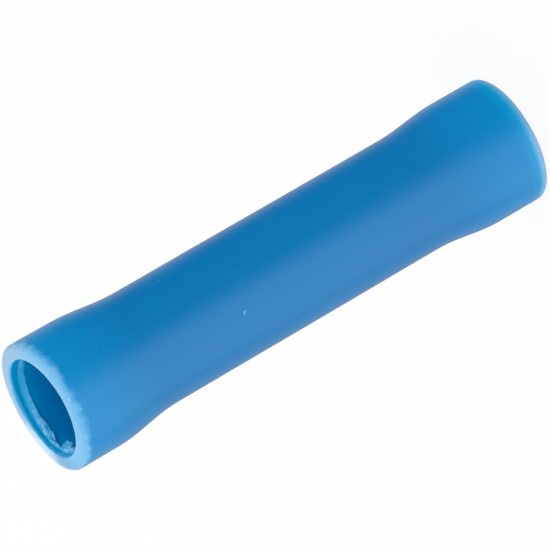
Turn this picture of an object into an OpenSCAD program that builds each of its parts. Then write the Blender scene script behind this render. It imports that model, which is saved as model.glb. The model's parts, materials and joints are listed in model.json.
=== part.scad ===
// Insulated butt splice connector: a crimp barrel gripped in a sleeve with two belled ends
// Millimetres. It stands on its lower end face, with its axis along +Z from the origin

/* [Sleeve] */
// Wall thickness of the sleeve
sleeve_wall = 0.75; // [0.7:0.05:1.2]
// Bore of the belled ends, where the wire's insulation goes in
entry_bore = 4.5; // [4:0.1:6]
// Straight length of each belled end, from its face to its blend
bell_len = 2.3; // [1.2:0.1:5]
// Length of the S-shaped blend between each belled end and the waist
blend_len = 3.2; // [1.6:0.1:6]
// Length of the barrel that lies under each blend
blend_lap = 0.5; // [0.1:0.1:1.2]
// Gap on radius between the barrel and the seat that grips it
seat_gap = 0.01; // [0.01:0.01:0.05]

/* [Mouth] */
// Rounding of the lip's outer edge
lip_round = 0.2; // [0.1:0.05:0.45]
// Rounding of the lip's inner edge
mouth_round = 0.13; // [0.05:0.01:0.17]
// How far the mouth is wider than the entry bore, on radius
mouth_step = 0.07; // [0.02:0.01:0.12]
// Depth of the wider mouth, as far as the core line
mouth_depth = 0.5; // [0.3:0.05:0.8]
// Width of the flash ridge that the core line leaves
ridge_w = 0.3; // [0.1:0.05:0.35]
// Height of the flash ridge over the entry bore
ridge_h = 0.05; // [0.02:0.01:0.1]

/* [Barrel] */
// Length of the crimp barrel
barrel_len = 15; // [9:0.5:24]
// Bore of the barrel, where the stripped wire goes in
barrel_bore = 2.3; // [1.8:0.1:2.8]
// Wall thickness of the barrel
barrel_wall = 0.8; // [0.5:0.05:1]
// Chamfer on the barrel's outer and inner edges
barrel_chamfer = 0.2; // [0.05:0.05:0.22]
// Width of the butted seam down the barrel
seam_gap = 0.08; // [0.04:0.01:0.2]

/* [Wire stop] */
// Height of the bead that stops each wire half-way
stop_h = 0.5; // [0.3:0.05:0.7]
// Length of barrel that the rolled stop takes up
stop_len = 2.4; // [1.2:0.1:3]

/* [Wire grip] */
// Number of grip grooves in each half of the barrel
groove_count = 3; // [1:1:5]
// Width of a grip groove at the bore
groove_w = 0.4; // [0.2:0.05:0.5]
// Depth of a grip groove
groove_depth = 0.1; // [0.04:0.01:0.2]

/* [Hidden] */
$fn = 72;
blend_steps = 12;
lip_steps = 6;
stop_steps = 16;

bore_r = barrel_bore / 2;
barrel_r = bore_r + barrel_wall;
seat_r = barrel_r + seat_gap;
waist_r = seat_r + sleeve_wall;
entry_r = entry_bore / 2;
bell_r = entry_r + sleeve_wall;
mouth_r = entry_r + mouth_step;

// Both lip roundings are limited by the lip's own thickness
lip_wall = bell_r - mouth_r;
lip_arc_r = min(lip_round, 0.67 * lip_wall);
mouth_arc_r = min(mouth_round, 0.26 * lip_wall);

// The barrel's end lies this far inside the sleeve's end
barrel_inset = bell_len + blend_len - blend_lap;
sleeve_len = barrel_len + 2 * barrel_inset;
// Length of plain bore that grips the wire in each half of the barrel
grip_len = (barrel_len - stop_len) / 2 - barrel_chamfer;

// Runs from 0 to 1 with no slope at either end
function ease(t) = (1 - cos(180 * t)) / 2;

// Points of an arc about a centre, from one angle to another
function arc(centre, r, from, to) = [
    for (i = [0:lip_steps])
        let (a = from + (to - from) * i / lip_steps)
        centre + r * [cos(a), sin(a)]
];

// Points of the S-shaped blend from the bell's radius to the waist's
function blend(from_r, to_r) = [
    for (i = [0:blend_steps])
        let (t = i / blend_steps)
        [from_r + (to_r - from_r) * ease(t), bell_len + blend_len * t]
];

function reversed(points) = [for (i = [len(points) - 1:-1:0]) points[i]];

// The same points at the other end of a piece of this height, in rising order
function other_end(points, height) = [for (p = reversed(points)) [p.x, height - p.y]];

// A section that is closed between its outer and its inner side, both in rising order
module ring_section(outer, inner) {
    polygon(concat(outer, reversed(inner)));
}

// One moulding: lips, belled ends, blends and waist, with an even wall
module insulation_sleeve() {
    outer = concat(
        arc([bell_r - lip_arc_r, lip_arc_r], lip_arc_r, -90, 0),
        blend(bell_r, waist_r)
    );
    ridge = [
        [mouth_r, mouth_depth],
        [entry_r - ridge_h, mouth_depth + ridge_w / 2],
        [entry_r, mouth_depth + ridge_w]
    ];
    inner = concat(
        arc([mouth_r + mouth_arc_r, mouth_arc_r], mouth_arc_r, -90, -180),
        ridge,
        blend(entry_r, seat_r)
    );
    color([0, 0.45, 0.71])
        rotate_extrude()
            ring_section(
                concat(outer, other_end(outer, sleeve_len)),
                concat(inner, other_end(inner, sleeve_len))
            );
}

// The rolled wire stop: the wall drawn in at mid-length, so the same curve serves both its sides
function stop_curve(r) = [
    for (i = [0:stop_steps])
        let (t = i / stop_steps)
        [r - stop_h * ease(1 - abs(2 * t - 1)), (barrel_len - stop_len) / 2 + stop_len * t]
];

// V-shaped grooves spread evenly over one half's grip length
function grip_grooves() = [
    for (i = [1:groove_count])
        let (z = barrel_chamfer + grip_len * i / (groove_count + 1))
        each [
            [bore_r, z - groove_w / 2],
            [bore_r + groove_depth, z],
            [bore_r, z + groove_w / 2]
        ]
];

// Rolled from plated strip, with its edges butted along the seam
module crimp_barrel() {
    outer = [[barrel_r - barrel_chamfer, 0], [barrel_r, barrel_chamfer]];
    inner = concat([[bore_r + barrel_chamfer, 0], [bore_r, barrel_chamfer]], grip_grooves());
    color([0.76, 0.77, 0.78])
        translate([0, 0, barrel_inset])
            difference() {
                rotate_extrude()
                    ring_section(
                        concat(outer, stop_curve(barrel_r), other_end(outer, barrel_len)),
                        concat(inner, stop_curve(bore_r), other_end(inner, barrel_len))
                    );
                translate([0, -seam_gap / 2, -1])
                    cube([barrel_r + 1, seam_gap, barrel_len + 2]);
            }
}

insulation_sleeve();
crimp_barrel();
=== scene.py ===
"""Models and dresses an insulated butt splice connector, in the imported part's own frame."""

import json
import math

import bmesh
import bpy
from bpy.props import FloatProperty, FloatVectorProperty, IntProperty, PointerProperty
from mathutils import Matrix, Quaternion, Vector


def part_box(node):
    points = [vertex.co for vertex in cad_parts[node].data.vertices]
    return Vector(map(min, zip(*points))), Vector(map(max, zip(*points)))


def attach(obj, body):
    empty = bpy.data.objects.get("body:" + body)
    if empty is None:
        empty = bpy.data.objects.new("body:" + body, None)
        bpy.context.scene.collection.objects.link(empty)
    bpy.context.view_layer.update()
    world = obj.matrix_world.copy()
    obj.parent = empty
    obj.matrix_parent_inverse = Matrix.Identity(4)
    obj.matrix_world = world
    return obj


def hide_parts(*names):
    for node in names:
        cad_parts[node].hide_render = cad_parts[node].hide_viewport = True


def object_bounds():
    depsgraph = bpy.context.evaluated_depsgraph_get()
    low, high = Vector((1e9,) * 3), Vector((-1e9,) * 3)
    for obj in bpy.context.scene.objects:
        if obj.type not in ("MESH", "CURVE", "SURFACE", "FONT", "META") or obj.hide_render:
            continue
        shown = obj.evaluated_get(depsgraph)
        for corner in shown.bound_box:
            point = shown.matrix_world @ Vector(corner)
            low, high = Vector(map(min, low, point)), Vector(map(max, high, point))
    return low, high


bl_info = {
    "name": "Butt Splice Connector",
    "version": (1, 0, 0),
    "blender": (4, 5, 0),
    "location": "View3D > Sidebar > Splice",
    "description": "Models the sleeve and the barrel of a butt splice connector and lights them",
    "category": "Object",
}

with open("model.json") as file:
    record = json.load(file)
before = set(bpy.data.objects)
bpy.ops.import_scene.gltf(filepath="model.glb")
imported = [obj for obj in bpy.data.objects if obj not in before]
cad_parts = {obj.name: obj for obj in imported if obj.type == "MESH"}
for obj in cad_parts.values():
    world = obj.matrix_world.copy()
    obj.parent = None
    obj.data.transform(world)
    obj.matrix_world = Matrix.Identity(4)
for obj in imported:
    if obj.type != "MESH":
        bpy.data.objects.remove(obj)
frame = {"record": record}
cad_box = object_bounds()
sleeve_low, sleeve_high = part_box("insulation_sleeve")
barrel_low, barrel_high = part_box("crimp_barrel")
mounts = {mount["name"]: mount for mount in frame["record"]["mounts"]}
entry = mounts["insulation_entry_top"]["dims"]
wire_bore = mounts["wire_bore_top"]["dims"]

MM = 0.001
TOUCHING = 1e-6
PHOTO_SIZE = 550
SEAT_GAP = 0.01 * MM

# Points nearer the axis than this times the entry bore are inside the sleeve.
INSIDE = 1.06
# Edges sharper than this stay crisp.
SLEEVE_CREASE = math.radians(40)
BARREL_CREASE = math.radians(35)
# How far across the ridge its crest lies, and how far across the flash has its full height.
CREST_SHARE = 0.85
TEAR_SHARE = 0.6
# The least that the mouth's wall in front of the ridge takes part in the flash.
WALL_TEAR = 0.1
# Where the flash starts, is worst and ends, in degrees from +X, and the lower one's own turn.
FLASH_TURNS = (10, 160, 195)
LOWER_TURN = -130
# How much flash there is at its start, as a share of the worst, and how late it grows.
FILM_GROWTH = (0.12, 1.5)
CRUMB_GROWTH = (0.06, 4)
# Where the upper ridge climbs most, from +X, and how the slanted cut bows.
RISE_TURN = math.radians(150)
SLANT_BOW = 1.6

# Sizes of the vinyl's patterns, and how much the moulded flow is drawn out along the axis.
CLOUD_GRAIN = 1.6 * MM
FLOW_GRAIN = 0.35 * MM
SKIN_GRAIN = 0.06 * MM
CRUMB_GRAIN = 0.2 * MM
WANDER_GRAIN = 0.45 * MM
FLOW_STRETCH = (1, 1, 0.12)
# Shares of the length between which the lower end's finish gives way to the upper end's.
MIDDLE = (0.4, 0.6)
# The bore's lining ends at this times the entry bore.
LINING_EDGE = 1.12
# Depths from the end faces at which the vinyl changes colour: where the painted light of the hollow
# bells starts to fade towards the waist, where the painted glow near the lips fades, and where the
# lining turns from that glow to the bore's blue.
HOLLOW_DEPTH = 0.5 * MM
GLOW_DEPTHS = (0.2 * MM, 1.1 * MM)
LINING_DEPTHS = (0.55 * MM, 1.1 * MM)
# The painted highlight's reach from its middle on the upper lip, and how much its edge wanders.
GLARE_REACH = (0.5 * MM, 1.7 * MM)
GLARE_WANDER = 1.0 * MM
# Sides of the lips that look different, as ways out from the axis: the side where the lower lip's
# painted light narrows into shade, and the sides where the upper lip is greyer and darker.
SHADED_SIDE = Vector((1, 0, 0))
DULL_SIDE = Vector((0.8, 0.6, 0))
DARKER_SIDE = Vector((-0.91, 0.42, 0))
# How far each layer of colour covers what is under it.
LOWER_GLOW = 0.8
UPPER_GLOW = 0.5
SHADE_NARROWING = 0.85
DULL_COVER = 0.65
DARKER_COVER = 0.22
CORNER_SHADE_COVER = 0.15
CRUMB_LIGHT_COVER = 0.3
GLARE_COVER = 0.7
FRAY_COVER = 0.5
PALE_COVER = 0.85
DARK_COVER = 0.35
# Roughness of the vinyl's skin, and how much rougher it is where it is cut or torn.
SKIN_ROUGHNESS = 0.18
CUT_ROUGHNESS = 0.15
TORN_ROUGHNESS = 0.45
SKIN_HEIGHT = 0.01 * MM
# Specks on the outside: turn from +X in degrees, level and radius in millimetres.
PALE_SPECKS = ((-107.5, 15.65, 0.07), (-108.6, 15.71, 0.055), (-36.8, 17.98, 0.04))
DARK_SPECKS = ((-72.5, 22.12, 0.06),)
SPECK_CORE = 0.4

# Drawn lines and dull patches of the tin plating.
LINE_GRAIN = 0.08 * MM
LINE_STRETCH = (1, 1, 0.06)
PATCH_GRAIN = 1.1 * MM
TIN_ROUGHNESS = 0.26
LINE_HEIGHT = 0.005 * MM

# Where the back panel hangs, and the ways to what the connector's gloss mirrors.
PANEL_PLACE = Vector((-0.12, 0.38, 0.14))
DARK_SIDE = Vector((0.89, -0.33, -0.3)).normalized()
BRIGHT_SIDE = Vector((-0.66, -0.66, -0.3)).normalized()
AHEAD = Vector((0.3, 0.89, -0.34)).normalized()
RIGHT = (1, 0, 0)
UP = (0, 0, 1)


def length(name, description, default):
    """A size in metres."""
    return FloatProperty(
        name=name, description=description, default=default, unit="LENGTH", precision=5
    )


def angle(name, description, degrees):
    """An angle, given in degrees."""
    return FloatProperty(
        name=name, description=description, default=math.radians(degrees), subtype="ANGLE"
    )


def number(name, description, default):
    """A plain number."""
    return FloatProperty(name=name, description=description, default=default)


def count(name, description, default):
    """A whole number."""
    return IntProperty(name=name, description=description, default=default)


def colour(name, description, *shade):
    """A colour, given as red, green and blue from 0 to 255, as a screen shows it."""
    linear = [linear_light(part / 255) for part in shade]
    return FloatVectorProperty(
        name=name, description=description, default=linear, subtype="COLOR", min=0, max=1
    )


def linear_light(part):
    """One part of a screen colour as linear light."""
    return part / 12.92 if part <= 0.04045 else ((part + 0.055) / 1.055) ** 2.4


class SleeveSettings(bpy.types.PropertyGroup):
    """Sizes and colours of the moulded sleeve."""

    length: length("Length", "From end face to end face", sleeve_high.z - sleeve_low.z)
    bell_radius: length("Bell radius", "Outside of the belled ends", sleeve_high.x)
    entry_radius: length("Entry radius", "Bore of the belled ends", entry["r_mm"] * MM)
    seat_radius: length("Seat radius", "Bore that grips the barrel", barrel_high.x + SEAT_GAP)
    bell_length: length("Bell length", "Straight part of each belled end", 2.3 * MM)
    blend_length: length("Blend length", "S-shaped part between bell and waist", 3.2 * MM)
    lip_round: length("Lip rounding", "Outer edge of the lip", 0.2 * MM)
    lip_band: length("Lip band", "How far down the outside the lips are rough", 0.4 * MM)
    lip_fade: length("Lip fade", "How far down the outside the upper lip fades", 0.7 * MM)
    mouth_round: length("Mouth rounding", "Inner edge of the lip", 0.13 * MM)
    slant: angle("Slant", "Upper end, cut lower on the -Y side", 4.8)
    mouth_step: length("Mouth step", "How far the mouth is wider than the entry", 0.07 * MM)
    mouth_depth: length("Mouth depth", "From the face to the core line", 0.5 * MM)
    ridge_width: length("Ridge width", "Flash ridge along the core line", 0.3 * MM)
    ridge_height: length("Ridge height", "Flash ridge over the entry bore", 0.05 * MM)
    ridge_rise: length("Ridge rise", "How far the upper ridge climbs on one side", 0.25 * MM)
    # The turn of a painted highlight on the upper lip.
    glare_turn: angle("Scuff turn", "Where the upper lip is rubbed, from +X", 122)
    lip_height: length("Lip height", "Roughness of the cut lips", 0.02 * MM)
    lip_grain: length("Lip grain", "Size of the roughness of the cut lips", 0.12 * MM)
    film_height: length("Film height", "Smooth flash on the ridge, at its highest", 0.19 * MM)
    flash_height: length("Flash height", "Crumbs of torn flash, at their worst", 0.55 * MM)
    flash_grain: length("Flash grain", "Size of the crumbs of flash", 0.34 * MM)
    bell_lean: length("Bell lean", "How far both bells sit off the axis, towards -X", 0.04 * MM)
    bell_flare: length("Bell flare", "How far the upper lip is spread", 0.035 * MM)
    ripple: length("Ripple", "Unevenness of the moulded outside", 0.02 * MM)
    ripple_grain: length("Ripple grain", "Size of the unevenness", 3 * MM)
    turns: count("Steps round", "Faces round the sleeve", 300)
    # Waist blue and bell blue differ by painted light: the hollow bells are lighter and greener, as
    # if light came through their wall, and the waist is darker where the barrel stops that light.
    # Mouth blue is a painted glow through the lip.
    waist_blue: colour("Waist blue", "Vinyl backed by the barrel", 0, 116, 178)
    bell_blue: colour("Bell blue", "Vinyl of the hollow ends", 0, 134, 199)
    mouth_blue: colour("Mouth blue", "Vinyl near the face, lit through the lip", 0, 162, 216)
    bore_blue: colour("Bore blue", "Vinyl of the bore behind the mouth", 0, 141, 205)
    # Scuff blue paints light: a highlight on the upper lip, and light on the lower lip and on
    # crumbs in the dim bore. It also whitens frays.
    scuff_and_glare_blue: colour("Scuff blue", "Vinyl rubbed nearly white", 206, 229, 248)
    # Fleck blue colours real dark flecks. It is also painted shade in the corner before the flash
    # ridge, and darkens one side of the upper lip.
    fleck_and_shade_blue: colour("Fleck blue", "Dark flecks, corners and grime", 0, 60, 110)
    flash_blue: colour("Flash blue", "Thin torn flash and pale specks", 84, 184, 238)
    cut_blue: colour("Cut blue", "Vinyl whitened by the cut at its ends", 108, 183, 230)
    # Dull blue greys the upper lip's cut on one side.
    dull_blue: colour("Dull blue", "Cut vinyl dulled by handling", 142, 180, 209)


class BarrelSettings(bpy.types.PropertyGroup):
    """Sizes and colours of the crimp barrel."""

    inset: length("Inset", "From the sleeve's end to the barrel's", barrel_low.z - sleeve_low.z)
    length: length("Length", "From end to end", barrel_high.z - barrel_low.z)
    radius: length("Radius", "Outside of the tube", barrel_high.x)
    bore_radius: length("Bore radius", "Inside of the tube", wire_bore["r_mm"] * MM)
    chamfer: length("Chamfer", "Edges of the tube's ends", 0.2 * MM)
    seam_gap: length("Seam gap", "Between the butted edges of the strip", 0.08 * MM)
    stop_height: length("Stop height", "Bead that stops the wires", 0.5 * MM)
    stop_length: length("Stop length", "Length of tube that the bead takes up", 2.4 * MM)
    grooves: count("Grooves", "Grip grooves in each half", 3)
    groove_width: length("Groove width", "At the bore", 0.4 * MM)
    groove_depth: length("Groove depth", "Below the bore", 0.1 * MM)
    turns: count("Steps round", "Faces round the barrel", 144)
    tin: colour("Tin", "Bright plating", 202, 204, 206)
    dull_tin: colour("Dull tin", "Plating gone grey", 158, 160, 163)


class StageSettings(bpy.types.PropertyGroup):
    """Camera and light."""

    elevation: angle("Elevation", "Camera above the level", 20)
    roll: angle("Roll", "Turn of the camera about its own line of sight", -120.17)
    distance: length("Distance", "Camera to the connector's middle", 0.192)
    focal_length: number("Focal length", "In millimetres", 290.2)
    middle_pixel_x: number("Middle, across", "Pixel of the connector's middle", 277.4)
    middle_pixel_y: number("Middle, down", "Pixel of the connector's middle", 270.8)
    floor_size: length("Floor size", "Side of the floor", 3.0)
    fill_light: number("Fill light", "Level light from all round, where 1 is white", 1.45)
    panel_light: number("Panel light", "Back panel's brightness, where 1 is white", 0.8)
    panel_width: length("Panel width", "Back panel, across", 0.5)
    panel_height: length("Panel height", "Back panel, up", 0.25)


class Wire:
    """A socket in a node tree, so that shader maths is written as Python expressions."""

    def __init__(self, nodes, socket):
        self.nodes = nodes
        self.socket = socket

    def maths(self, operation, first, second):
        """A Math node on two values or wires."""
        return self.nodes.add("ShaderNodeMath", {"operation": operation}, {0: first, 1: second})

    def __add__(self, other):
        return self.maths("ADD", self, other)

    def __sub__(self, other):
        return self.maths("SUBTRACT", self, other)

    def __rsub__(self, other):
        return self.maths("SUBTRACT", other, self)

    def __mul__(self, other):
        return self.maths("MULTIPLY", self, other)

    __radd__ = __add__
    __rmul__ = __mul__

    def least(self, other):
        """The lower of the two."""
        return self.maths("MINIMUM", self, other)

    def most(self, other):
        """The higher of the two."""
        return self.maths("MAXIMUM", self, other)

    def between(self, low, high):
        """Rises smoothly from 0 at low to 1 at high."""
        return self.nodes.add(
            "ShaderNodeMapRange",
            {"interpolation_type": "SMOOTHSTEP"},
            {"Value": self, "From Min": low, "From Max": high},
        )


class Nodes:
    """A node tree that is cleared and filled again."""

    def __init__(self, owner):
        owner.use_nodes = True
        self.tree = owner.node_tree
        self.tree.nodes.clear()

    def add(self, kind, settings=None, inputs=None, output=0):
        """Adds one node, sets it, fills its sockets with values or links, and gives an output."""
        node = self.tree.nodes.new(kind)
        for name, value in (settings or {}).items():
            setattr(node, name, value)
        for name, value in (inputs or {}).items():
            if isinstance(value, Wire):
                self.tree.links.new(value.socket, node.inputs[name])
            else:
                node.inputs[name].default_value = value
        return Wire(self, node.outputs[output]) if node.outputs else None

    def mix(self, factor, first, second):
        """From the first colour to the second."""
        first, second = (
            shade if isinstance(shade, Wire) else (*shade, 1.0) for shade in (first, second)
        )
        inputs = {0: factor, 6: first, 7: second}
        return self.add("ShaderNodeMix", {"data_type": "RGBA"}, inputs, output=2)

    def vector(self, operation, first, second, output=0):
        """A Vector Math node. Its output 1 is a plain number."""
        settings = {"operation": operation}
        return self.add("ShaderNodeVectorMath", settings, {0: first, 1: second}, output)

    def along(self, way, side):
        """How far a way points to a side: 1 straight at it, -1 straight away."""
        return self.vector("DOT_PRODUCT", way, side, output=1)

    def distance(self, place, spot):
        """How far the point is from a spot, in metres."""
        return self.vector("DISTANCE", place, spot, output=1)

    def place(self):
        """The point's place in the piece, in metres."""
        return self.add("ShaderNodeTexCoord", output="Object")

    def attribute(self, name):
        """A number that note() kept for each point."""
        return self.add("ShaderNodeAttribute", {"attribute_name": name}, output="Fac")

    def ray(self, kind):
        """1 for rays of one kind, such as those from the camera."""
        return self.add("ShaderNodeLightPath", output=f"Is {kind} Ray")

    def noise(self, place, grain, detail=2.0, stretch=(1, 1, 1)):
        """Cloudy noise from 0 to 1, with grains of this size in metres."""
        inputs = {
            "Vector": self.vector("MULTIPLY", place, stretch),
            "Scale": 1 / grain,
            "Detail": detail,
        }
        return self.add("ShaderNodeTexNoise", {}, inputs)

    def bump(self, strength, distance, height):
        """A bumped normal."""
        inputs = {"Strength": strength, "Distance": distance, "Height": height}
        return self.add("ShaderNodeBump", {}, inputs)

    def surface(self, **inputs):
        """The finished surface. Its inputs are named as on the shader, with _ for a space."""
        inputs = {name.replace("_", " "): value for name, value in inputs.items()}
        shader = self.add("ShaderNodeBsdfPrincipled", {}, inputs)
        self.add("ShaderNodeOutputMaterial", {}, {"Surface": shader})


def clamp(share):
    """No less than 0 and no more than 1."""
    return max(min(share, 1), 0)


def ease(share):
    """From 0 to 1 with no slope at either end."""
    return (1 - math.cos(math.pi * share)) / 2


def arc(centre, radius, start, stop, steps):
    """Points of an arc in a section, from one angle in degrees to another."""
    angles = [math.radians(start + (stop - start) * step / steps) for step in range(steps + 1)]
    return [
        (centre[0] + radius * math.cos(turn), centre[1] + radius * math.sin(turn))
        for turn in angles
    ]


def run(start, stop, steps, shape=lambda share: share):
    """Points from one place in a section up to another, without it. shape bends the radius."""
    shares = [step / steps for step in range(steps)]
    return [
        (start[0] + (stop[0] - start[0]) * shape(share), start[1] + (stop[1] - start[1]) * share)
        for share in shares
    ]


def other_end(points, height):
    """The same points at the other end of a piece, in rising order."""
    return [(radius, height - level) for radius, level in reversed(points)]


def draw_section(name, points):
    """Draws a section in the XZ plane from a plane merged to a point, and stays in edit mode."""
    bpy.ops.object.select_all(action="DESELECT")
    bpy.ops.mesh.primitive_plane_add(size=MM, location=(points[0][0], 0, points[0][1]))
    piece = bpy.context.object
    piece.name = piece.data.name = name
    bpy.ops.object.transform_apply(location=True)
    bpy.ops.object.mode_set(mode="EDIT")
    bpy.ops.mesh.select_mode(type="VERT")
    bpy.ops.mesh.select_all(action="SELECT")
    bpy.ops.mesh.merge(type="CENTER")
    for last, point in zip(points, points[1:]):
        move = (point[0] - last[0], 0, point[1] - last[1])
        bpy.ops.mesh.extrude_region_move(TRANSFORM_OT_translate={"value": move})
    return piece


def spin_section(piece, turn, steps, filled):
    """Closes the section, spins it about Z and tidies it. A filled one leaves caps at the ends."""
    if filled:
        bpy.ops.mesh.select_all(action="SELECT")
    else:
        shape = bmesh.from_edit_mesh(piece.data)
        shape.verts.ensure_lookup_table()
        shape.verts[0].select = True
        bmesh.update_edit_mesh(piece.data)
    bpy.ops.mesh.edge_face_add()
    bpy.ops.mesh.select_all(action="SELECT")
    bpy.ops.mesh.spin(
        steps=steps, angle=turn, center=(0, 0, 0), axis=(0, 0, 1), use_auto_merge=not filled
    )
    bpy.ops.mesh.select_all(action="SELECT")
    bpy.ops.mesh.remove_doubles(threshold=TOUCHING)
    bpy.ops.mesh.normals_make_consistent(inside=False)
    bpy.ops.object.mode_set(mode="OBJECT")


def work_over(piece, name, kind, weights, **settings):
    """Adds a modifier that works on the weighted points, and applies it."""
    group = piece.vertex_groups.new(name=name)
    for index, weight in weights.items():
        group.add([index], weight, "REPLACE")
    modifier = piece.modifiers.new(name, kind)
    modifier.vertex_group = group.name
    for setting, value in settings.items():
        setattr(modifier, setting, value)
    bpy.context.view_layer.objects.active = piece
    bpy.ops.object.modifier_apply(modifier=name)
    piece.vertex_groups.clear()


def push_out(piece, name, weights, height, texture=None, middle=0.0, direction="NORMAL"):
    """Displaces the weighted points, by a texture or all alike."""
    settings = {
        "strength": height,
        "texture": texture,
        "mid_level": middle,
        "direction": direction,
        "texture_coords": "LOCAL",
    }
    work_over(piece, name, "DISPLACE", weights, **settings)


def note(piece, name, values):
    """Keeps a number for each point, for the shader to read."""
    attribute = piece.data.attributes.new(name, "FLOAT", "POINT")
    for index, value in values.items():
        attribute.data[index].value = value


def clouds(name, grain, contrast=1.0):
    """A cloudy texture for displacement, with grains of this size in metres."""
    texture = bpy.data.textures.new(name, "CLOUDS")
    texture.noise_scale = grain
    texture.noise_depth = 3
    texture.contrast = contrast
    return texture


def blend_share(size, depth):
    """0 in the belled ends, 1 in the waist, for a depth from the nearer end face."""
    return ease(clamp((depth - size.bell_length) / size.blend_length))


def outer_radius(size, level):
    """The sleeve's outside at a level."""
    waist = size.seat_radius + size.bell_radius - size.entry_radius
    share = blend_share(size, min(level, size.length - level))
    return size.bell_radius + (waist - size.bell_radius) * share


def crest_depth(size):
    """How deep in the mouth the flash ridge is highest: near its far edge, which it overhangs."""
    return size.mouth_depth + size.ridge_width * CREST_SHARE


def sleeve_section(size):
    """The sleeve's wall, cut through: up the outside from lip to lip, and back down the inside."""
    wall = size.bell_radius - size.entry_radius
    mouth = size.entry_radius + size.mouth_step
    waist = size.seat_radius + wall
    blend_end = size.bell_length + size.blend_length
    bell_foot = (size.bell_radius, size.bell_length)
    waist_foot = (waist, blend_end)
    core_line = (mouth, size.mouth_depth)
    crest = (size.entry_radius - size.ridge_height, crest_depth(size))
    ridge_foot = (size.entry_radius, size.mouth_depth + size.ridge_width)
    entry_foot = (size.entry_radius, size.bell_length)
    seat_foot = (size.seat_radius, blend_end)

    lip_middle = (size.bell_radius - size.lip_round, size.lip_round)
    lip = arc(lip_middle, size.lip_round, -90, 0, steps=12)
    outside = lip[:-1]
    outside += run(lip[-1], bell_foot, steps=8)
    outside += run(bell_foot, waist_foot, steps=24, shape=ease)
    middle = run(waist_foot, (waist, size.length - blend_end), steps=24)

    edge_middle = (mouth + size.mouth_round, size.mouth_round)
    edge = arc(edge_middle, size.mouth_round, -90, -180, steps=8)
    inside = edge[:-1]
    inside += run(edge[-1], core_line, steps=6)
    inside += run(core_line, crest, steps=7)
    inside += run(crest, ridge_foot, steps=7)
    inside += run(ridge_foot, entry_foot, steps=8)
    inside += run(entry_foot, seat_foot, steps=16, shape=ease)
    inside.append(seat_foot)

    outer = outside + middle + other_end(outside + middle[:1], size.length)
    inner = inside + other_end(inside, size.length)
    return outer + inner[::-1]


def barrel_section(size):
    """The barrel's wall, cut through: up the outside and back down the bore."""
    half = (size.length - size.stop_length) / 2
    grip = half - size.chamfer
    drawn_in = size.radius - size.stop_height, size.bore_radius - size.stop_height

    def stop(radius, lowest):
        return run((radius, half), (lowest, size.length / 2), steps=12, shape=ease)

    outer_half = [(size.radius - size.chamfer, 0), (size.radius, size.chamfer)]
    outer_half += stop(size.radius, drawn_in[0])
    inner_half = [(size.bore_radius + size.chamfer, 0), (size.bore_radius, size.chamfer)]
    for groove in range(1, size.grooves + 1):
        level = size.chamfer + grip * groove / (size.grooves + 1)
        inner_half.append((size.bore_radius, level - size.groove_width / 2))
        inner_half.append((size.bore_radius + size.groove_depth, level))
        inner_half.append((size.bore_radius, level + size.groove_width / 2))
    inner_half += stop(size.bore_radius, drawn_in[1])

    outer = outer_half + [(drawn_in[0], size.length / 2)] + other_end(outer_half, size.length)
    inner = inner_half + [(drawn_in[1], size.length / 2)] + other_end(inner_half, size.length)
    return [(radius, level + size.inset) for radius, level in outer + inner[::-1]]


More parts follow.
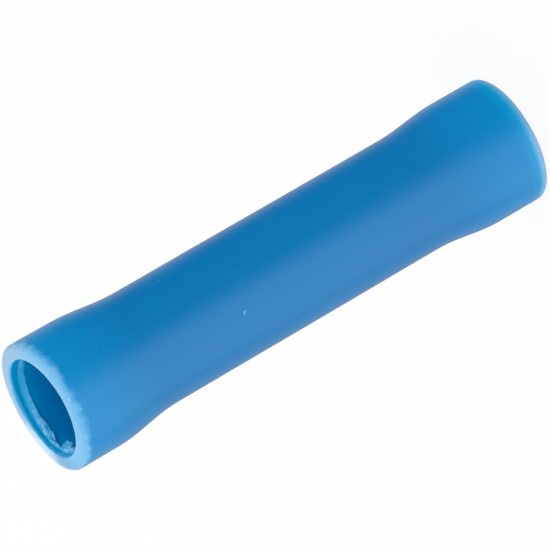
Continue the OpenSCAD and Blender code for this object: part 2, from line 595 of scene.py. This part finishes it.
class SleeveVinyl:
    """Satin vinyl: painted light makes it lighter and greener where it is hollow behind; whitened
    where it is cut, frayed or torn, with painted shade, painted highlights and painted light on the
    lips and in the mouths.
    """

    def __init__(self, size):
        self.size = size
        self.material = bpy.data.materials.new("blue_vinyl")
        self.nodes = nodes = Nodes(self.material)
        self.place = nodes.place()
        self.across = nodes.vector("MULTIPLY", self.place, (1, 1, 0))
        level = nodes.add("ShaderNodeSeparateXYZ", {}, {"Vector": self.place}, output="Z")
        self.depth = level.least(size.length - level)
        self.upper = level.between(*(size.length * share for share in MIDDLE))
        self.flow = nodes.noise(self.place, FLOW_GRAIN, 3, FLOW_STRETCH)
        self.crumbs = nodes.noise(self.place, CRUMB_GRAIN, 4)
        self.flash = nodes.attribute("flash")
        self.torn = self.flash.between(0.12, 0.6)
        self.cut = self.cut_mask()

        grain = nodes.noise(self.place, SKIN_GRAIN, 3)
        skin = SKIN_ROUGHNESS + (self.flow - 0.5) * 0.1 + (grain - 0.5) * 0.06
        nodes.surface(
            Base_Color=self.shade(),
            Roughness=skin + self.cut * CUT_ROUGHNESS + self.torn * TORN_ROUGHNESS,
            Specular_IOR_Level=0.3,
            Normal=nodes.bump(0.25, SKIN_HEIGHT, grain + self.flow * 0.6),
        )

    def shade(self):
        """The colour, layer on layer."""
        nodes, size = self.nodes, self.size
        # corner is painted shade in the corner where the mouth's wall meets the flash ridge.
        corner = self.flash.between(0, 0.03) * (1 - self.flash.between(0.05, 0.2))
        thin = self.torn * self.crumbs.between(0.3, 0.55)
        # Painted light whitens the torn crumbs, which lie in the dim bore.
        crumb_light = self.torn * self.crumbs.between(0.45, 0.7)
        shade = nodes.mix(self.cut, self.body(), self.cut_shade())
        shade = nodes.mix(corner * CORNER_SHADE_COVER, shade, size.fleck_and_shade_blue)
        shade = nodes.mix(thin, shade, size.flash_blue)
        shade = nodes.mix(crumb_light * CRUMB_LIGHT_COVER, shade, size.scuff_and_glare_blue)
        shade = nodes.mix(self.cut * self.scuff_and_glare_mask(), shade, size.scuff_and_glare_blue)
        shade = nodes.mix(self.specks(PALE_SPECKS) * PALE_COVER, shade, size.flash_blue)
        return nodes.mix(self.specks(DARK_SPECKS) * DARK_COVER, shade, size.fleck_and_shade_blue)

    def body(self):
        """The moulded blue with painted light, lighter in the hollow bells and glowing near the
        lips and darker along the barrel, and the bore's lining.
        """
        nodes, size, depth = self.nodes, self.size, self.depth
        # Painted light: backed is 1 along the barrel, which stops light through the wall, and
        # paints the darker waist blue there.
        backed = depth.between(HOLLOW_DEPTH, size.bell_length + size.blend_length)
        cloud = nodes.noise(self.place, CLOUD_GRAIN)
        uneven = (cloud * 0.6 + self.flow * 0.4 - 0.5) * 0.35 + 0.1
        glow = LOWER_GLOW - self.upper * (LOWER_GLOW - UPPER_GLOW)
        glow = glow * (1 - depth.between(*GLOW_DEPTHS))
        out = nodes.distance(self.across, (0, 0, 0))
        bore = 1 - out.between(size.entry_radius, size.entry_radius * LINING_EDGE)
        shade = nodes.mix(backed, size.bell_blue, size.waist_blue)
        shade = nodes.mix(uneven, shade, size.bell_blue)
        shade = nodes.mix(glow, shade, size.mouth_blue)
        lining = nodes.mix(depth.between(*LINING_DEPTHS), size.mouth_blue, size.bore_blue)
        return nodes.mix(bore, shade, lining)

    def side(self, way):
        """How far out the point lies to one side: 1 at the bells' outside, straight that way."""
        return self.nodes.along(self.across, way / self.size.bell_radius)

    def cut_mask(self):
        """Where the lips are whitened: the upper one by its cut, fading unevenly; the lower one by
        painted light, narrower on the shaded side.
        """
        lip = self.nodes.attribute("lip")
        fade = self.nodes.attribute("fade")
        wander = self.nodes.noise(self.place, WANDER_GRAIN, 3) - 0.5
        uneven = fade.between(0, 0.15) * (fade + wander * 0.9).between(0.2, 0.95)
        # Painted light on the lower lip, narrowed on the shaded side.
        shade_narrowing = self.side(SHADED_SIDE).between(-0.4, 0.2) * SHADE_NARROWING
        lower_lip_light = lip * (1 - (1 - lip) * shade_narrowing)
        return lower_lip_light + (uneven - lower_lip_light) * self.upper

    def cut_shade(self):
        """The whitened blue, at the upper lip greyer on one side and darker on another."""
        nodes, size = self.nodes, self.size
        dull = self.side(DULL_SIDE).between(0.1, 0.75) * DULL_COVER
        darker = self.side(DARKER_SIDE).between(0.7, 0.88) * DARKER_COVER
        shade = nodes.mix(dull * self.upper, size.cut_blue, size.dull_blue)
        return nodes.mix(darker * self.upper, shade, size.fleck_and_shade_blue)

    def scuff_and_glare_mask(self):
        """Where the lips are painted paler: a painted highlight round one upper spot, paler frays,
        and painted light all round the lower lip, which lies in shade by the floor.
        """
        size = self.size
        side = Vector((math.cos(size.glare_turn), math.sin(size.glare_turn), 0))
        spot = side * (size.bell_radius - size.lip_round / 2) + Vector((0, 0, size.length))
        away = self.nodes.distance(self.place, spot) + (self.crumbs - 0.5) * GLARE_WANDER
        # rubbed is a painted highlight, and lower is painted light on the lower lip.
        rubbed = (1 - away.between(*GLARE_REACH)) * GLARE_COVER
        frayed = self.crumbs.between(0.62, 0.76) * FRAY_COVER
        lower = 0.5 - self.upper * 0.5
        return rubbed.most(frayed).most(lower)

    def specks(self, spots):
        """1 on small spots of the outside."""
        mask = 0
        for turn, level, radius in spots:
            turn, level, radius = math.radians(turn), level * MM, radius * MM
            out = outer_radius(self.size, level)
            away = self.nodes.distance(
                self.place, (out * math.cos(turn), out * math.sin(turn), level)
            )
            mask = mask + 1 - away.between(radius * SPECK_CORE, radius)
        return mask


def tin_plate(size):
    """Satin tin plating with drawn lines along the tube and dull patches."""
    material = bpy.data.materials.new("tin_plate")
    nodes = Nodes(material)
    place = nodes.place()
    lines = nodes.noise(place, LINE_GRAIN, 2, LINE_STRETCH)
    patches = nodes.noise(place, PATCH_GRAIN, 4).between(0.42, 0.68)
    nodes.surface(
        Base_Color=nodes.mix(patches, size.tin, size.dull_tin),
        Metallic=1.0,
        Roughness=TIN_ROUGHNESS + patches * 0.14 + lines * 0.1,
        Normal=nodes.bump(0.3, LINE_HEIGHT, lines),
    )
    return material


class SPLICE_OT_sleeve(bpy.types.Operator):
    """Spins the moulded sleeve and tears the flash in its mouths"""

    bl_idname = "splice.sleeve"
    bl_label = "Sleeve"

    def execute(self, context):
        size = context.scene.splice_sleeve
        piece = draw_section("moulded_sleeve", sleeve_section(size))
        spin_section(piece, math.tau, size.turns, filled=False)

        # Every weight is worked out on the plain spun mesh, before the first push.
        depths = {point.index: self.depth(point, size) for point in piece.data.vertices}
        outside = self.outside_weights(piece, size, depths)
        flare = self.flare_weights(piece, size, outside, depths)
        lean = {index: 1 - blend_share(size, depth) for index, depth in depths.items()}
        film = self.flash_weights(piece, size, depths, *FILM_GROWTH)
        crumbs = self.flash_weights(piece, size, depths, *CRUMB_GROWTH)
        lip = self.lip_weights(piece, size, depths, size.lip_band)
        fade = self.lip_weights(piece, size, depths, size.lip_fade)
        rise = self.rise_weights(piece, size, depths)
        slant = self.slant_weights(piece, size, depths)

        drop = 2 * size.bell_radius * math.tan(size.slant)
        ripples = clouds("ripple", size.ripple_grain)
        tears = clouds("flash", size.flash_grain, contrast=2.6)
        rough = clouds("lip", size.lip_grain)
        push_out(piece, "flare", flare, size.bell_flare)
        push_out(piece, "lean", lean, -size.bell_lean, direction="X")
        push_out(piece, "ripple", outside, size.ripple, ripples, middle=0.5)
        push_out(piece, "film", film, size.film_height)
        push_out(piece, "flash", crumbs, size.flash_height, tears, middle=0.3)
        work_over(piece, "soften", "SMOOTH", crumbs, factor=0.5, iterations=3)
        push_out(piece, "lip", lip, size.lip_height, rough, middle=1.0)
        push_out(piece, "rise", rise, size.ridge_rise, direction="Z")
        push_out(piece, "slant", slant, -drop, direction="Z")
        note(piece, "lip", lip)
        note(piece, "fade", fade)
        note(piece, "flash", film)

        bpy.ops.object.shade_smooth_by_angle(angle=SLEEVE_CREASE)
        piece.data.materials.append(SleeveVinyl(size).material)
        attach(piece, "root")
        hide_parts("insulation_sleeve")
        return {"FINISHED"}

    def out(self, point):
        """How far a point is from the axis."""
        return math.hypot(point.co.x, point.co.y)

    def depth(self, point, size):
        """How far a point is from the nearer end face."""
        return min(point.co.z, size.length - point.co.z)

    def side(self, point, turn):
        """1 on the side of the axis that faces this turn from +X, 0 on the other."""
        return math.cos(math.atan2(point.co.y, point.co.x) - turn) * 0.5 + 0.5

    def outside_weights(self, piece, size, depths):
        """1 on the outside, falling to 0 at the end faces."""
        limit = size.entry_radius * INSIDE
        outside = [point.index for point in piece.data.vertices if self.out(point) > limit]
        return {index: min(depths[index] / size.lip_round, 1) for index in outside}

    def flare_weights(self, piece, size, outside, depths):
        """How much the outside of the upper bell spreads: most at the lip, none at the waist."""
        waist = size.bell_length + size.blend_length
        points = piece.data.vertices
        upper = [index for index in outside if points[index].co.z > size.length / 2]
        return {index: outside[index] * max(1 - depths[index] / waist, 0) for index in upper}

    def lip_weights(self, piece, size, depths, band):
        """1 on the end faces, falling to 0 down a band of the outside and the inner rounding."""
        weights = {}
        for point in piece.data.vertices:
            inner = self.out(point) < size.bell_radius - size.lip_round
            reach = size.mouth_round if inner else band
            if depths[point.index] < reach:
                weights[point.index] = 1 - depths[point.index] / reach
        return weights

    def slant_weights(self, piece, size, depths):
        """How much the upper bell sinks: most at the lip, on the -Y side, where it bows down."""
        weights = {}
        for point in piece.data.vertices:
            if point.co.z > size.length / 2 and depths[point.index] < size.bell_length:
                side = ((1 - point.co.y / size.bell_radius) / 2) ** SLANT_BOW
                weights[point.index] = side * (1 - depths[point.index] / size.bell_length)
        return weights

    def rise_weights(self, piece, size, depths):
        """How much the upper ridge climbs towards the face: most where the flash is worst."""
        weights = {}
        ridge_end = size.mouth_depth + size.ridge_width
        limit = size.entry_radius + size.mouth_step + TOUCHING
        for point in piece.data.vertices:
            if point.co.z > size.length / 2 and self.out(point) < limit:
                depth = depths[point.index]
                before = (depth - size.mouth_round) / (size.mouth_depth - size.mouth_round)
                after = (size.bell_length - depth) / (size.bell_length - ridge_end)
                share = clamp(min(before, after))
                weights[point.index] = share * self.side(point, RISE_TURN)
        return weights

    def flash_weights(self, piece, size, depths, least, power):
        """How much each point of the two mouths is torn: most at the ridge's crest, on one side."""
        weights = {}
        crest = crest_depth(size)
        limit = size.entry_radius * INSIDE
        for point in piece.data.vertices:
            depth = depths[point.index]
            torn = ease(clamp((depth - size.mouth_depth) / (size.ridge_width * TEAR_SHARE)))
            if size.mouth_round < depth:
                torn = max(torn, WALL_TEAR)
            if depth < crest + TOUCHING and torn > 0 and self.out(point) < limit:
                grown = self.grown(point, size) ** power
                weights[point.index] = torn * (least + (1 - least) * grown)
        return weights

    def grown(self, point, size):
        """How far the flash has grown: all at its worst turn, nothing at its start and end."""
        start, worst, end = FLASH_TURNS
        first = 0 if point.co.z > size.length / 2 else LOWER_TURN
        turn = (math.degrees(math.atan2(point.co.y, point.co.x)) - first) % 360
        return ease(clamp(min((turn - start) / (worst - start), (end - turn) / (end - worst))))


class SPLICE_OT_barrel(bpy.types.Operator):
    """Rolls the crimp barrel from its section and leaves its seam open"""

    bl_idname = "splice.barrel"
    bl_label = "Barrel"

    def execute(self, context):
        size = context.scene.splice_barrel
        seam = 2 * math.asin(size.seam_gap / (size.radius + size.bore_radius))
        piece = draw_section("rolled_barrel", barrel_section(size))
        spin_section(piece, math.tau - seam, size.turns, filled=True)
        bpy.ops.object.mode_set(mode="EDIT")
        bpy.ops.mesh.select_all(action="SELECT")
        bpy.ops.transform.rotate(value=-seam / 2, orient_axis="Z", center_override=(0, 0, 0))
        bpy.ops.object.mode_set(mode="OBJECT")
        bpy.ops.object.shade_smooth_by_angle(angle=BARREL_CREASE)
        piece.data.materials.append(tin_plate(size))
        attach(piece, "root")
        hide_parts("crimp_barrel")
        return {"FINISHED"}


class SPLICE_OT_stage(bpy.types.Operator):
    """Lays the floor, lights the scene and sets the camera"""

    bl_idname = "splice.stage"
    bl_label = "Stage"

    def execute(self, context):
        stage = context.scene.splice_stage
        middle = (cad_box[0] + cad_box[1]) / 2
        context.scene.view_settings.view_transform = "Standard"
        self.lay_floor(stage)
        self.light_world(context.scene, stage)
        self.hang_panel(stage, middle)
        self.set_camera(context.scene, stage, middle)
        return {"FINISHED"}

    def lay_floor(self, stage):
        """A matt floor that shows white and keeps the connector's shadow."""
        bpy.ops.object.select_all(action="DESELECT")
        bpy.ops.mesh.primitive_plane_add(size=stage.floor_size)
        floor = bpy.context.object
        floor.name = floor.data.name = "floor"
        material = bpy.data.materials.new("white_floor")
        nodes = Nodes(material)
        seen = nodes.ray("Camera").most(nodes.ray("Glossy")).most(nodes.ray("Transmission"))
        matt = nodes.add("ShaderNodeBsdfDiffuse", {}, {"Color": (0.8, 0.8, 0.8, 1)})
        glow = nodes.add("ShaderNodeEmission", {}, {"Color": (1, 1, 1, 1), "Strength": 1.0})
        surface = nodes.add("ShaderNodeMixShader", {}, {0: seen * 0.9, 1: matt, 2: glow})
        nodes.add("ShaderNodeOutputMaterial", {}, {"Surface": surface})
        floor.data.materials.append(material)
        floor.visible_glossy = False

    def light_world(self, scene, stage):
        """White where the camera sees it, level light on the connector, and walls for its gloss."""
        scene.world = scene.world or bpy.data.worlds.new("studio")
        scene.world.cycles.sampling_method = "NONE"
        nodes = Nodes(scene.world)
        way = nodes.add("ShaderNodeTexCoord", output="Generated")
        dark = nodes.along(way, DARK_SIDE).between(0.2, 0.9)
        overhead = nodes.along(way, UP).between(0.2, 1.0)
        fill = stage.fill_light * (1 - 0.35 * overhead) * (1 - 0.3 * dark)
        mirrored = self.mirrored(nodes, way, dark)
        strength = fill + (mirrored - fill) * nodes.ray("Glossy")
        shown = nodes.ray("Camera").most(nodes.ray("Transmission"))
        strength = strength + (1 - strength) * shown
        inputs = {"Color": (1, 1, 1, 1), "Strength": strength}
        sky = nodes.add("ShaderNodeBackground", {}, inputs)
        nodes.add("ShaderNodeOutputWorld", {}, {"Surface": sky})

    def mirrored(self, nodes, way, dark):
        """What the gloss mirrors: pale walls, one bright and one dark, dimmer ahead and below."""
        up = nodes.along(way, UP)
        bright = nodes.along(way, BRIGHT_SIDE).between(0.48, 1.0)
        walls = 0.87 + 0.33 * nodes.along(way, RIGHT).most(-0.2) + 1.3 * bright
        ceiling = 0.3 * up.between(0.55, 0.95)
        ahead = 1 - 0.5 * nodes.along(way, AHEAD).between(0, 0.95)
        below = 0.4 + 0.6 * up.between(-0.95, -0.6)
        return (walls + ceiling) * (1 - dark) * ahead * below

    def hang_panel(self, stage, target):
        """A bright panel behind the connector, turned to it and hidden from the camera."""
        bpy.ops.object.light_add(type="AREA", location=PANEL_PLACE)
        panel = bpy.context.object
        panel.name = panel.data.name = "back_panel"
        panel.data.shape = "RECTANGLE"
        panel.data.size, panel.data.size_y = stage.panel_width, stage.panel_height
        area = stage.panel_width * stage.panel_height
        panel.data.energy = stage.panel_light * math.pi * area
        panel.rotation_mode = "QUATERNION"
        panel.rotation_quaternion = (target - PANEL_PLACE).to_track_quat("-Z", "Y")
        panel.visible_camera = False

    def set_camera(self, scene, stage, middle):
        """The photograph's view: the connector stands, so the camera is rolled."""
        back = Vector((0, -math.cos(stage.elevation), math.sin(stage.elevation)))
        turn = (-back).to_track_quat("-Z", "Y") @ Quaternion((0, 0, 1), stage.roll)
        place = middle + back * stage.distance
        bpy.ops.object.camera_add(location=place, rotation=turn.to_euler())
        camera = bpy.context.object
        camera.name = camera.data.name = "camera"
        camera.data.lens = stage.focal_length
        camera.data.shift_x = (PHOTO_SIZE / 2 - stage.middle_pixel_x) / PHOTO_SIZE
        camera.data.shift_y = (stage.middle_pixel_y - PHOTO_SIZE / 2) / PHOTO_SIZE
        scene.camera = camera


class SPLICE_PT_panel(bpy.types.Panel):
    """Lists the connector's pieces and their sizes"""

    bl_idname = "SPLICE_PT_panel"
    bl_label = "Butt Splice"
    bl_space_type = "VIEW_3D"
    bl_region_type = "UI"
    bl_category = "Splice"

    def draw(self, context):
        for step, settings in STEPS:
            box = self.layout.box()
            box.operator(step.bl_idname)
            for name in settings.__annotations__:
                box.prop(getattr(context.scene, settings_name(step)), name)


STEPS = (
    (SPLICE_OT_sleeve, SleeveSettings),
    (SPLICE_OT_barrel, BarrelSettings),
    (SPLICE_OT_stage, StageSettings),
)


def settings_name(step):
    """The scene's property that holds a step's settings."""
    return "splice_" + step.bl_label.lower()


def register():
    for step, settings in STEPS:
        bpy.utils.register_class(settings)
        bpy.utils.register_class(step)
        setattr(bpy.types.Scene, settings_name(step), PointerProperty(type=settings))
    bpy.utils.register_class(SPLICE_PT_panel)


def unregister():
    bpy.utils.unregister_class(SPLICE_PT_panel)
    for step, settings in reversed(STEPS):
        delattr(bpy.types.Scene, settings_name(step))
        bpy.utils.unregister_class(step)
        bpy.utils.unregister_class(settings)


def main():
    register()
    bpy.ops.splice.sleeve()
    bpy.ops.splice.barrel()
    bpy.ops.splice.stage()


if __name__ == "__main__":
    main()
